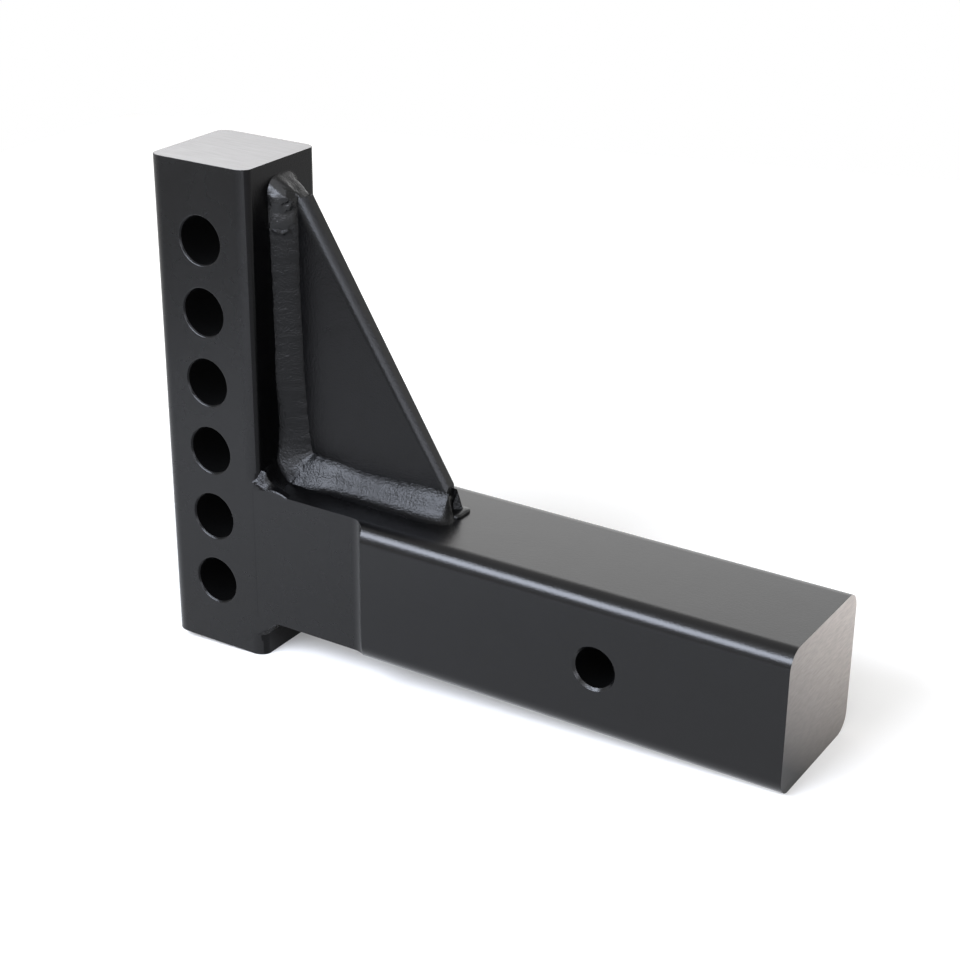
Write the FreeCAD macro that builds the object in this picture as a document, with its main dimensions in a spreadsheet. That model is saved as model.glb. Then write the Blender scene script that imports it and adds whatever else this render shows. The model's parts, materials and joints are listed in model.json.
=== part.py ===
import FreeCAD, Part
import math
import os
import Sketcher

# Hitch shank: a solid square receiver bar is welded to the side of an upright square bar that carries
# a row of bolt holes, and a gusset plate stands in the corner above the bar.
#
# The part's origin is the centre of the hitch pin's hole. Each piece is drawn in a frame of its own
# with its origin at the root of the joint: X runs from the upright's face to the bar's free end, Y
# across and Z up, with the bar's centre line at Y = 0 and Z = 0. Its placement sets it into the part.

SIZES = [
    ("bar_width", 63.5, "side of the square receiver bar, 2 1/2 in"),
    ("bar_corner_radius", 8.0, "rounding of the receiver bar's long edges"),
    ("bar_length", 254.0, "upright's face to the free end"),
    ("pin_setback", 82.55, "free end to the pin hole"),
    ("pin_hole_radius", 8.73, "hole for a 5/8 in pin"),
    ("pin_hole_chamfer", 1.1, "broken edge of the pin hole"),
    ("upright_width", 50.8, "side of the square upright bar, 2 in"),
    ("upright_corner_radius", 5.3, "rounding of the upright's long edges"),
    ("upright_height", 224.0, "sawn length of the upright"),
    ("stub_drop", 19.05, "how far the upright reaches below the bar"),
    ("bolt_hole_radius", 10.32, "hole for a 3/4 in bolt"),
    ("bolt_hole_chamfer", 0.8, "broken edge of a bolt hole"),
    ("bolt_hole_pitch", 31.75, "from one bolt hole to the next"),
    ("bolt_hole_count", 6, "bolt holes in the row"),
    ("lowest_hole_height", 31.75, "upright's lower end to the lowest bolt hole"),
    ("milled_width", 49.2, "across the two milled sides, for the head's channel"),
    ("flat_length", 49.8, "travel of the cutter's centre past the upright's face"),
    ("cutter_radius", 9.525, "cutter that milled the sides, 3/4 in"),
    ("plate_length", 82.55, "gusset plate along the bar"),
    ("plate_height", 127.0, "gusset plate up the upright"),
    ("plate_thickness", 6.35, "gusset plate, 1/4 in"),
    ("plate_tip", 12.7, "width of the plate's blunt tips"),
    ("plate_clip", 17.5, "clipped inner corner that bridges the root weld"),
    ("plate_edge_roll", 2.3, "rolled-over edge that shearing left"),
    ("plate_offset", 1.2, "how far the plate stands off the middle"),
    ("bead_leg", 7.5, "gusset bead's width on the bars"),
    ("bead_rise", 10.5, "gusset bead's width on the plate"),
    ("bead_bulge", 0.8, "how far a bead's face bulges"),
    ("crown_radius", 12.0, "dome of the top wrap"),
    ("crown_drop", 3.75, "middle of the top wrap, below the plate's upper end"),
    ("toe_setback", 6.15, "middle of the toe wrap, behind the plate's lower end"),
    ("root_rise", 9.65, "upper root bead's height up the upright, beside the plate"),
    ("root_reach", 6.0, "upper root bead's reach along the bar, beside the plate"),
    ("root_side_rise", 2.95, "upper root bead's height at the milled sides"),
    ("root_side_reach", 17.0, "upper root bead's reach at the milled sides"),
    ("root_full_half", 10.0, "half of the stretch where the upper root bead is full"),
    ("lower_root_leg", 9.0, "lower root bead's width on both bars"),
]

doc = FreeCAD.newDocument("HitchShank")
sheet = doc.addObject("Spreadsheet::Sheet", "Sizes")


class Size:
    """A length worked out from the sheet: its value, and the expression that keeps it bound."""

    def __init__(self, value, text):
        self.value = value
        self.text = text

    def joined(self, sign, other, value):
        return Size(value, f"({self.text} {sign} {other.text})")

    def __add__(self, other):
        other = as_size(other)
        return self.joined("+", other, self.value + other.value)

    def __sub__(self, other):
        other = as_size(other)
        return self.joined("-", other, self.value - other.value)

    def __mul__(self, other):
        other = as_size(other)
        return self.joined("*", other, self.value * other.value)

    def __truediv__(self, other):
        other = as_size(other)
        return self.joined("/", other, self.value / other.value)

    def __neg__(self):
        return Size(-self.value, f"(0 - {self.text})")


def as_size(number):
    """Take a plain number as a size."""
    return number if isinstance(number, Size) else Size(float(number), repr(float(number)))


class Named:
    """The sheet's sizes by name."""


size = Named()
for row, (alias, number, note) in enumerate(SIZES, start=1):
    sheet.set(f"A{row}", alias)
    sheet.set(f"B{row}", str(number))
    sheet.set(f"C{row}", note)
    sheet.setAlias(f"B{row}", alias)
    setattr(size, alias, Size(float(number), f"Sizes.{alias}"))
doc.recompute()

# Heights and places that several pieces share
ZERO = as_size(0)
bar_top = size.bar_width / 2
upright_bottom = -(bar_top + size.stub_drop)
milled_side = size.milled_width / 2
plate_near = size.plate_offset - size.plate_thickness / 2
plate_top = bar_top + size.plate_height
pin_place = size.bar_length - size.pin_setback
joint_place = -pin_place


def origin_feature(body, role):
    """One of the body's own origin planes or axes."""
    return [feature for feature in body.Origin.OriginFeatures if feature.Role == role][0]


def bind(thing, path, length):
    """Keep a property at a length worked out from the sheet."""
    thing.setExpression(path, length.text)


def new_body(name):
    """A body whose own frame is the joint's."""
    body = doc.addObject("PartDesign::Body", name)
    bind(body, "Placement.Base.x", joint_place)
    return body


def new_sketch(body, name, role, offset=(ZERO, ZERO, ZERO)):
    """A sketch on one of the body's origin planes, moved by an offset in the sketch's own axes."""
    sketch = body.newObject("Sketcher::SketchObject", name)
    sketch.AttachmentSupport = [(origin_feature(body, role), "")]
    sketch.MapMode = "FlatFace"
    for axis, length in zip("xyz", offset):
        bind(sketch, f"AttachmentOffset.Base.{axis}", length)
    return sketch


def hold_point(sketch, geometry, point, across, up):
    """Hold a sketch point at its distances from the sketch's origin."""
    for kind, length in (("DistanceX", across), ("DistanceY", up)):
        number = sketch.addConstraint(Sketcher.Constraint(kind, -1, 1, geometry, point, length.value))
        bind(sketch, f"Constraints[{number}]", length)


def bulged_arc(start, end, bulge):
    """Counter-clockwise arc from start to end that stands off its chord by the bulge."""
    chord = end.sub(start)
    radius = (chord.Length ** 2 / 4 + bulge ** 2) / (2 * bulge)
    inward = FreeCAD.Vector(-chord.y, chord.x, 0).normalize()
    centre = (start + end) * 0.5 + inward * (radius - bulge)
    first = math.atan2(start.y - centre.y, start.x - centre.x)
    last = math.atan2(end.y - centre.y, end.x - centre.x)
    if last < first:
        last += 2 * math.pi
    circle = Part.Circle(centre, FreeCAD.Vector(0, 0, 1), radius)
    return Part.ArcOfCircle(circle, first, last)


def add_outline(sketch, corners, bulged=None, bulge=None):
    """Closed outline through the corners, listed counter-clockwise. One side can be a bulged arc."""
    points = [FreeCAD.Vector(across.value, up.value, 0) for across, up in corners]
    count = len(points)
    sides = []
    for i in range(count):
        start, end = points[i], points[(i + 1) % count]
        if i == bulged:
            sides.append(sketch.addGeometry(bulged_arc(start, end, bulge.value)))
        else:
            sides.append(sketch.addGeometry(Part.LineSegment(start, end)))
    for i in range(count):
        sketch.addConstraint(Sketcher.Constraint("Coincident", sides[i], 2, sides[(i + 1) % count], 1))
    for i, (across, up) in enumerate(corners):
        hold_point(sketch, sides[i], 1, across, up)
    if bulged is not None:
        (x0, y0), (x1, y1) = corners[bulged], corners[(bulged + 1) % count]
        chord_squared = (x1 - x0) * (x1 - x0) + (y1 - y0) * (y1 - y0)
        radius = chord_squared / (bulge * 8) + bulge / 2
        number = sketch.addConstraint(Sketcher.Constraint("Radius", sides[bulged], radius.value))
        bind(sketch, f"Constraints[{number}]", radius)


def rectangle(left, bottom, right, top):
    """Corners of an upright rectangle."""
    return [(left, bottom), (right, bottom), (right, top), (left, top)]


def pad(body, sketch, length, symmetric=False):
    """Pad the sketch along its normal, or half to each side."""
    feature = body.newObject("PartDesign::Pad", sketch.Name + "Pad")
    feature.Profile = sketch
    feature.SideType = "Symmetric" if symmetric else "One side"
    bind(feature, "Length", length)
    sketch.Visibility = False
    doc.recompute()
    return feature


def pocket_through(body, sketch):
    """Cut the sketch out of the whole body, to both sides of its plane."""
    before = body.Shape.Volume
    feature = body.newObject("PartDesign::Pocket", sketch.Name + "Pocket")
    feature.Profile = sketch
    feature.Type = "ThroughAll"
    feature.SideType = "Symmetric"
    doc.recompute()
    if body.Shape.Volume >= before:
        raise RuntimeError(f"{feature.Name} cuts nothing")
    return feature


def fillet_edges(body, feature, wanted, radius):
    """Round the edges of the feature that the test picks."""
    names = [f"Edge{i}" for i, edge in enumerate(feature.Shape.Edges, start=1) if wanted(edge)]
    fillet = body.newObject("PartDesign::Fillet", feature.Name + "Round")
    fillet.Base = (feature, names)
    bind(fillet, "Radius", radius)
    doc.recompute()
    return fillet


def runs_along(axis):
    """Test for an edge that lies along an axis."""
    def test(edge):
        direction = edge.Vertexes[-1].Point.sub(edge.Vertexes[0].Point)
        return direction.Length > 0 and abs(direction.normalize().dot(axis)) > 0.999
    return test


def drill_across(body, name, place, height, half_width, radius, chamfer):
    """Hole across the bar, with both its edges broken: a drill's outline turned round the hole's axis."""
    before = body.Shape.Volume
    mouth = half_width + chamfer
    wall = half_width - chamfer
    sketch = new_sketch(body, name, "XY_Plane", (place, ZERO, height))
    add_outline(sketch, [
        (ZERO, -mouth),
        (radius + chamfer * 2, -mouth),
        (radius, -wall),
        (radius, wall),
        (radius + chamfer * 2, mouth),
        (ZERO, mouth),
    ])
    groove = body.newObject("PartDesign::Groove", name + "Groove")
    groove.Profile = sketch
    groove.ReferenceAxis = (sketch, ["V_Axis"])
    groove.Angle = 360
    doc.recompute()
    if body.Shape.Volume >= before:
        raise RuntimeError(f"{name} drills nothing")
    return groove


def seat_on(name, rough, parents):
    """Trim a weld's rough form to what it is laid on."""
    tool = parents[0]
    if len(parents) > 1:
        tool = doc.addObject("Part::MultiFuse", name + "_seat")
        tool.Shapes = parents
    weld = doc.addObject("Part::Cut", name)
    weld.Base = rough
    weld.Tool = tool
    return weld


# Upright bar: sawn square bar, milled on both sides after welding, and cross-drilled
def make_upright_bar():
    body = new_body("upright_bar")
    half = size.upright_width / 2
    stock = new_sketch(body, "UprightStock", "XY_Plane", (ZERO, ZERO, upright_bottom))
    add_outline(stock, rectangle(-size.upright_width, -half, ZERO, half))
    bar = pad(body, stock, size.upright_height)
    fillet_edges(body, bar, runs_along(FreeCAD.Vector(0, 0, 1)), size.upright_corner_radius)
    milled = new_sketch(body, "UprightMilled", "XY_Plane")
    for inner, outer in ((milled_side, size.upright_width), (-size.upright_width, -milled_side)):
        add_outline(milled, rectangle(-size.upright_width * 2, inner, size.upright_width, outer))
    pocket_through(body, milled)
    lowest = upright_bottom + size.lowest_hole_height
    hole = drill_across(body, "BoltHole", -half, lowest, milled_side,
                        size.bolt_hole_radius, size.bolt_hole_chamfer)
    row = body.newObject("PartDesign::LinearPattern", "BoltHoleRow")
    row.Originals = [hole]
    row.Direction = (origin_feature(body, "Z_Axis"), [""])
    row.Mode = "Spacing"
    bind(row, "Offset", size.bolt_hole_pitch)
    bind(row, "Occurrences", size.bolt_hole_count)
    body.Tip = row
    doc.recompute()
    return body


# Receiver bar: solid square bar, its long edges rounded by the rolling mill
def make_receiver_bar():
    body = new_body("receiver_bar")
    stock = new_sketch(body, "BarStock", "YZ_Plane")
    add_outline(stock, rectangle(-bar_top, -bar_top, bar_top, bar_top))
    bar = pad(body, stock, size.bar_length)
    fillet_edges(body, bar, runs_along(FreeCAD.Vector(1, 0, 0)), size.bar_corner_radius)
    # Flats that the cutter left beside the joint, flush with the upright's milled sides
    flats = new_sketch(body, "BarFlats", "XY_Plane")
    for inner, outer in ((milled_side, size.bar_width), (-size.bar_width, -milled_side)):
        add_outline(flats, rectangle(-size.cutter_radius, inner, size.flat_length, outer))
    pocket_through(body, flats)
    # Round walls where the cutter stopped
    ends = new_sketch(body, "CutterEnds", "XY_Plane")
    for side in (1, -1):
        centre = (milled_side + size.cutter_radius) * side
        place = FreeCAD.Vector(size.flat_length.value, centre.value, 0)
        ring = ends.addGeometry(Part.Circle(place, FreeCAD.Vector(0, 0, 1), size.cutter_radius.value))
        hold_point(ends, ring, 3, size.flat_length, centre)
        number = ends.addConstraint(Sketcher.Constraint("Radius", ring, size.cutter_radius.value))
        bind(ends, f"Constraints[{number}]", size.cutter_radius)
    pocket_through(body, ends)
    drill_across(body, "PinHole", pin_place, ZERO, bar_top, size.pin_hole_radius, size.pin_hole_chamfer)
    return body


# Gusset plate: sheared triangle with blunt tips, its inner corner clipped to pass over the root weld
def make_gusset_plate():
    body = new_body("gusset_plate")
    outline = new_sketch(body, "PlateOutline", "XZ_Plane", (ZERO, ZERO, -size.plate_offset))
    add_outline(outline, [
        (size.plate_clip, bar_top),
        (size.plate_length, bar_top),
        (size.plate_length, bar_top + size.plate_tip),
        (size.plate_tip, plate_top),
        (ZERO, plate_top),
        (ZERO, bar_top + size.plate_clip),
    ])
    plate = pad(body, outline, size.plate_thickness, symmetric=True)
    lower_tip = FreeCAD.Vector(size.plate_length.value, plate_near.value, (bar_top + size.plate_tip).value)
    upper_tip = FreeCAD.Vector(size.plate_tip.value, plate_near.value, plate_top.value)
    middle = (lower_tip + upper_tip) * 0.5
    fillet_edges(body, plate, lambda edge: edge.CenterOfMass.distanceToPoint(middle) < 0.01,
                 size.plate_edge_roll)
    return body


# Upper root bead: full beside the plate, low and long where the milling cut it off at the sides
def make_root_weld_top(parents):
    body = new_body("RootTopRough")
    stations = [
        (-milled_side, size.root_side_rise, size.root_side_reach),
        (-size.root_full_half, size.root_rise, size.root_reach),
        (size.root_full_half, size.root_rise, size.root_reach),
        (milled_side, size.root_side_rise, size.root_side_reach),
    ]
    sections = []
    for number, (across, rise, reach) in enumerate(stations):
        back = size.upright_corner_radius
        rise_at_back = rise * ((reach + back) / reach)
        sketch = new_sketch(body, f"RootTop{number}", "XZ_Plane", (ZERO, ZERO, -across))
        add_outline(sketch, [(-back, bar_top), (reach, bar_top), (-back, bar_top + rise_at_back)],
                    bulged=1, bulge=size.bead_bulge)
        sections.append(sketch)
    loft = body.newObject("PartDesign::AdditiveLoft", "RootTopLoft")
    loft.Profile = sections[0]
    loft.Sections = sections[1:]
    loft.Ruled = True
    doc.recompute()
    return seat_on("root_weld_top", body, parents)


# Lower root bead: a plain fillet across the bar's underside
def make_root_weld_bottom(parents):
    body = new_body("RootBottomRough")
    back = size.upright_corner_radius
    leg = size.lower_root_leg
    section = new_sketch(body, "RootBottomSection", "XZ_Plane")
    add_outline(section, [(-back, -bar_top), (-back, -(bar_top + leg + back)), (leg, -bar_top)],
                bulged=1, bulge=size.bead_bulge)
    pad(body, section, size.milled_width, symmetric=True)
    return seat_on("root_weld_bottom", body, parents)


# Side fills: weld metal between the bar's square end and the upright's round corners
def make_root_weld_side(name, side, upright):
    depth = size.upright_corner_radius - (size.upright_width - size.milled_width) / 2
    rough = doc.addObject("Part::Box", name + "_rough")
    bind(rough, "Length", size.upright_corner_radius)
    bind(rough, "Width", depth)
    bind(rough, "Height", size.bar_width)
    bind(rough, "Placement.Base.x", joint_place - size.upright_corner_radius)
    bind(rough, "Placement.Base.y", milled_side - depth if side > 0 else -milled_side)
    bind(rough, "Placement.Base.z", -bar_top)
    return seat_on(name, rough, [upright])


# Wraps round the plate's two tips: a half ball against the upright, and a quarter ball on the bar
def make_wrap(name, radius, place, height, lowest_angle, plate):
    rough = doc.addObject("Part::Sphere", name + "_rough")
    rough.Angle1 = lowest_angle
    rough.Angle3 = 180
    rough.Placement.Rotation = FreeCAD.Rotation(FreeCAD.Vector(0, 0, 1), -90)
    bind(rough, "Radius", radius)
    bind(rough, "Placement.Base.x", joint_place + place)
    bind(rough, "Placement.Base.y", size.plate_offset)
    bind(rough, "Placement.Base.z", height)
    return seat_on(name, rough, [plate])


# Gusset beads: one run up the upright and one along the bar, which meet in the corner
def make_near_bead_rough():
    body = new_body("NearBeadRough")
    outer = plate_near - size.bead_leg
    rising = new_sketch(body, "BeadUp", "XY_Plane", (ZERO, ZERO, bar_top))
    add_outline(rising, [(ZERO, outer), (size.bead_rise, plate_near), (ZERO, plate_near)],
                bulged=0, bulge=size.bead_bulge)
    pad(body, rising, size.plate_height - size.crown_drop)
    lying = new_sketch(body, "BeadAlong", "YZ_Plane")
    add_outline(lying, [(outer, bar_top), (plate_near, bar_top), (plate_near, bar_top + size.bead_rise)],
                bulged=2, bulge=size.bead_bulge)
    pad(body, lying, size.plate_length - size.toe_setback)
    return body


def mirror_across_plate(rough):
    """The same bead on the other side of the plate."""
    mirrored = doc.addObject("Part::Mirroring", "FarBeadRough")
    mirrored.Source = rough
    mirrored.Normal = FreeCAD.Vector(0, 1, 0)
    bind(mirrored, "Base.y", size.plate_offset)
    return mirrored


upright_bar = make_upright_bar()
receiver_bar = make_receiver_bar()
gusset_plate = make_gusset_plate()
bars = [upright_bar, receiver_bar]
root_weld_top = make_root_weld_top(bars)
root_weld_bottom = make_root_weld_bottom(bars)
root_weld_near = make_root_weld_side("root_weld_near", -1, upright_bar)
root_weld_far = make_root_weld_side("root_weld_far", 1, upright_bar)
gusset_weld_top = make_wrap("gusset_weld_top", size.crown_radius, ZERO, plate_top - size.crown_drop, -90,
                            gusset_plate)
gusset_weld_toe = make_wrap("gusset_weld_toe", size.bead_leg + size.plate_thickness / 2,
                            size.plate_length - size.toe_setback, bar_top, 0, gusset_plate)
near_rough = make_near_bead_rough()
far_rough = mirror_across_plate(near_rough)
under_beads = [root_weld_top, gusset_weld_top, gusset_weld_toe]
gusset_weld_near = seat_on("gusset_weld_near", near_rough, under_beads)
gusset_weld_far = seat_on("gusset_weld_far", far_rough, under_beads)

PIECES = [
    upright_bar,
    receiver_bar,
    gusset_plate,
    root_weld_top,
    root_weld_bottom,
    root_weld_near,
    root_weld_far,
    gusset_weld_near,
    gusset_weld_far,
    gusset_weld_top,
    gusset_weld_toe,
]
doc.recompute()

for thing in doc.Objects:
    if "Invalid" in thing.State or "Error" in thing.State:
        raise RuntimeError(f"{thing.Name} failed: {thing.State}")

for piece in PIECES:
    if piece.Shape.isNull() or not piece.Shape.isValid() or not piece.Shape.Solids:
        raise RuntimeError(f"{piece.Label} has no valid solid")

os.makedirs("parts", exist_ok=True)
for piece in PIECES:
    piece.Shape.exportStep(f"parts/{piece.Label}.step")
    print(piece.Label, len(piece.Shape.Solids), "solid,", round(piece.Shape.Volume), "mm3")
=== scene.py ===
# %% [markdown]
# This lesson dresses a hitch shank: a solid square bar that slides into a towing receiver, welded to an
# upright bar with a row of bolt holes, and braced by a gusset plate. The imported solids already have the
# right sizes, so they are loaded first, and every measure that they know is read from them. What they lack
# is what the eye looks for: edges that catch light, weld metal that flowed and froze, saw marks, and the
# fine grain of black powder coat.

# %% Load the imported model
import bisect
import json
import math
import bmesh
import bpy
from mathutils import Matrix, Vector, noise


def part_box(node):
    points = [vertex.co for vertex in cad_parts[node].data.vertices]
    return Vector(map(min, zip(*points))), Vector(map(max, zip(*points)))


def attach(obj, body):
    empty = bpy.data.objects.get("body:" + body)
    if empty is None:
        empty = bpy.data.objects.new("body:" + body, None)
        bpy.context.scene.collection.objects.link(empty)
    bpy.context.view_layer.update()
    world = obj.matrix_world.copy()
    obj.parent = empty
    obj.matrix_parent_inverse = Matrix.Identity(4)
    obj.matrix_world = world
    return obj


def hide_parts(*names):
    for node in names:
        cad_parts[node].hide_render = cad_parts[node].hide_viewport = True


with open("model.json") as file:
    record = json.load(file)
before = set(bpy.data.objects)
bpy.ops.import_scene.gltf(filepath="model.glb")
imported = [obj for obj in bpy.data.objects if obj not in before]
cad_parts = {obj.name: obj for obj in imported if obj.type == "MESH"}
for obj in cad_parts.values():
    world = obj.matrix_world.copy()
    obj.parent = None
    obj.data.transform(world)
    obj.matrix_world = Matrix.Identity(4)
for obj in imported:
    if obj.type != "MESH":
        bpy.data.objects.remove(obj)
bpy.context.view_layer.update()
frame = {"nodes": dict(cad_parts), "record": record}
print("solids:", sorted(frame["nodes"]))

# %% Read the measures
MM = 0.001
MICRON = 1e-6
HAIR = 1e-7
upright_low, upright_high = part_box("upright_bar")
bar_low, bar_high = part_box("receiver_bar")
plate_low, plate_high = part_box("gusset_plate")
holes = {m["name"]: m for m in frame["record"]["mounts"] if m["kind"] == "bore"}
face_x = bar_low.x
bar_top = bar_high.z
mill_half = upright_high.y
print("upright face at", round(face_x / MM, 2), "mm, bar top at", round(bar_top / MM, 2), "mm")

# %% [markdown]
# The bars are rolled steel stock, so each starts as a closed block whose long edges are rounded. A milling
# cutter then takes a flat off both sides, which a plane that slices the block does just as well, and the
# open slice is closed again with one flat face.

# %% Make stock and slice it
ALONG = 0.999


def stock(low, high):
    block = bmesh.new()
    place = Matrix.Translation((low + high) / 2)
    spans = Matrix.Diagonal((*(high - low), 1.0))
    bmesh.ops.create_cube(block, size=1.0, matrix=place @ spans)
    return block


def edges_along(body, axis):
    found = []
    for edge in body.edges:
        run = (edge.verts[1].co - edge.verts[0].co).normalized()
        if abs(run[axis]) > ALONG:
            found.append(edge)
    return found


def round_edges(body, edges, radius, segments):
    bmesh.ops.bevel(body, geom=edges, offset=radius, offset_type="OFFSET", segments=segments,
                    profile=0.5, affect="EDGES", clamp_overlap=True, material=-1)


def slice_off(body, point, outward):
    everything = body.verts[:] + body.edges[:] + body.faces[:]
    cut = bmesh.ops.bisect_plane(body, geom=everything, dist=HAIR, plane_co=point, plane_no=outward,
                                 clear_outer=True)
    rim = [part for part in cut["geom_cut"] if isinstance(part, bmesh.types.BMEdge)]
    bmesh.ops.holes_fill(body, edges=rim, sides=0)


# %% [markdown]
# A hole through a bar is a turned shape, so the tool that cuts it is turned as well: half its outline is
# spun round the hole's axis. Its shoulders widen at both faces of the bar and leave the small chamfer that
# breaks a drilled mouth. Blender's Boolean modifier takes the tool's shape out of the bar.

# %% Drill and carve
DRILL_STEPS = 72
PAST_FACE = 2 * MM


def drill_tool(tool, centre, radius, chamfer, half_span):
    wide = radius + chamfer + PAST_FACE
    far = half_span + PAST_FACE
    outline = ((0, -far), (wide, -far), (radius, chamfer - half_span),
               (radius, half_span - chamfer), (wide, far), (0, far))
    points = [tool.verts.new((centre.x + out, along, centre.z)) for out, along in outline]
    edges = [tool.edges.new(pair) for pair in zip(points, points[1:])]
    bmesh.ops.spin(tool, geom=points + edges, cent=centre, axis=(0, 1, 0), angle=math.tau,
                   steps=DRILL_STEPS, use_merge=True)


def as_object(body, name):
    bmesh.ops.remove_doubles(body, verts=body.verts, dist=MICRON)
    bmesh.ops.recalc_face_normals(body, faces=body.faces)
    mesh = bpy.data.meshes.new(name)
    body.to_mesh(mesh)
    body.free()
    piece = bpy.data.objects.new(name, mesh)
    bpy.context.scene.collection.objects.link(piece)
    return piece


def carve(body, tool):
    piece = as_object(body, "carving")
    cutter = as_object(tool, "cutter")
    cut = piece.modifiers.new("cut", "BOOLEAN")
    cut.operation = "DIFFERENCE"
    cut.solver = "EXACT"
    cut.object = cutter
    seen = piece.evaluated_get(bpy.context.evaluated_depsgraph_get())
    carved = bmesh.new()
    carved.from_mesh(bpy.data.meshes.new_from_object(seen))
    bpy.data.objects.remove(piece)
    bpy.data.objects.remove(cutter)
    bmesh.ops.remove_doubles(carved, verts=carved.verts, dist=MICRON)
    return carved


# %% [markdown]
# No real edge is perfectly sharp: even a milled one has a hair of radius under the paint, and that hair is
# what draws the thin light lines in the photograph. So the sharp edges get a narrow break, apart from those
# that lie against another piece. It has two facets whose shading stays crisp, because each then mirrors one
# part of the room and its line stays thin, where a smooth round would smear it.

# %% Break the sharp edges
EDGE_BREAK = 0.45 * MM
BREAK_FACETS = 2
SHARP = math.radians(40)
CRISP = math.radians(25)


def break_edges(body, hidden):
    sharp = [edge for edge in body.edges
             if len(edge.link_faces) == 2 and edge.calc_face_angle() > SHARP and not hidden(edge)]
    round_edges(body, sharp, EDGE_BREAK, BREAK_FACETS)
    print("edges broken:", len(sharp))


def finish_piece(body, name, paints, nodes):
    piece = as_object(body, name)
    for paint in paints:
        piece.data.materials.append(paint)
    piece.data.shade_smooth()
    piece.data.set_sharp_from_angle(angle=CRISP)
    even = piece.modifiers.new("even shading", "WEIGHTED_NORMAL")
    even.keep_sharp = True
    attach(piece, "root")
    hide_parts(*nodes)
    print(name, "faces:", len(piece.data.polygons))


# %% [markdown]
# The whole shank wears one black powder coat, baked on as a dry dust that melts and levels with a fine
# orange peel. Every finish below is that coat over a different steel surface: rolled, milled, sawn, drilled
# or welded. All are made of noise in object space, because the pieces have no picture wrapped round them. The
# base is nearly black, so what tells the surfaces apart is how rough each is and how much it mirrors, and a
# lower index of refraction serves those that stay dark in the photograph.

# %% Wire up a coat
def start_paint(name):
    paint = bpy.data.materials.new(name)
    paint.use_nodes = True
    tree = paint.node_tree
    shader = tree.nodes["Principled BSDF"]
    spot = tree.nodes.new("ShaderNodeTexCoord")
    return paint, tree, shader, spot.outputs["Object"]


def add_noise(tree, spot, grain, detail=2.0, stretch=(1, 1, 1), turn=(0, 0, 0)):
    mapping = tree.nodes.new("ShaderNodeMapping")
    mapping.inputs["Scale"].default_value = stretch
    mapping.inputs["Rotation"].default_value = turn
    tree.links.new(spot, mapping.inputs["Vector"])
    texture = tree.nodes.new("ShaderNodeTexNoise")
    texture.inputs["Scale"].default_value = 1 / grain
    texture.inputs["Detail"].default_value = detail
    tree.links.new(mapping.outputs["Vector"], texture.inputs["Vector"])
    return texture.outputs["Fac"]


def add_ramp(tree, value, stops):
    ramp = tree.nodes.new("ShaderNodeValToRGB")
    ramp.color_ramp.elements[0].position = stops[0][0]
    ramp.color_ramp.elements[0].color = (*stops[0][1], 1)
    ramp.color_ramp.elements[1].position = stops[-1][0]
    ramp.color_ramp.elements[1].color = (*stops[-1][1], 1)
    for place, colour in stops[1:-1]:
        ramp.color_ramp.elements.new(place).color = (*colour, 1)
    tree.links.new(value, ramp.inputs["Fac"])
    return ramp.outputs["Color"]


def add_range(tree, value, low, high):
    spread = tree.nodes.new("ShaderNodeMapRange")
    spread.inputs["To Min"].default_value = low
    spread.inputs["To Max"].default_value = high
    tree.links.new(value, spread.inputs["Value"])
    return spread.outputs["Result"]


def add_bump(tree, height, depth, under=None):
    bump = tree.nodes.new("ShaderNodeBump")
    bump.inputs["Strength"].default_value = 1.0
    bump.inputs["Distance"].default_value = depth
    tree.links.new(height, bump.inputs["Height"])
    if under is not None:
        tree.links.new(under, bump.inputs["Normal"])
    return bump.outputs["Normal"]


# %% [markdown]
# Each coat is a dark base with broad clouds in its colour and its gloss, and two layers of bumps: the peel of
# the powder and a finer grit. Rolled steel shows both, a milled flat almost none, and weld metal the most. A
# drilled wall gets hardly any shine, as it would mirror little but its own dark hole, and its deeper black is
# painted shade.

# %% Mix the coats
SHADE_GRAIN = 9 * MM
CLOUD_GRAIN = 14 * MM
CLOUD_DETAIL = 3.0
GLOSS_SPREAD = 0.04
DARKER = 0.8
LIGHTER = 1.25
VALLEY = 0.3
PEAK = 0.7
FULL_SHINE = 1.36


def coat(name, colour, gloss, peel, grit, shine=FULL_SHINE):
    """Peel and grit are each a size and a depth in millimetres, and shine is an index of refraction."""
    paint, tree, shader, spot = start_paint(name)
    shade = add_noise(tree, spot, SHADE_GRAIN, CLOUD_DETAIL)
    darker = tuple(DARKER * part for part in colour)
    lighter = tuple(LIGHTER * part for part in colour)
    tree.links.new(add_ramp(tree, shade, ((VALLEY, darker), (PEAK, lighter))), shader.inputs["Base Color"])
    cloud = add_noise(tree, spot, CLOUD_GRAIN, CLOUD_DETAIL)
    glosses = add_range(tree, cloud, gloss - GLOSS_SPREAD, gloss + GLOSS_SPREAD)
    tree.links.new(glosses, shader.inputs["Roughness"])
    peeled = add_bump(tree, add_noise(tree, spot, peel[0] * MM), peel[1] * MM)
    gritty = add_bump(tree, add_noise(tree, spot, grit[0] * MM), grit[1] * MM, peeled)
    tree.links.new(gritty, shader.inputs["Normal"])
    shader.inputs["IOR"].default_value = shine
    return paint


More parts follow.
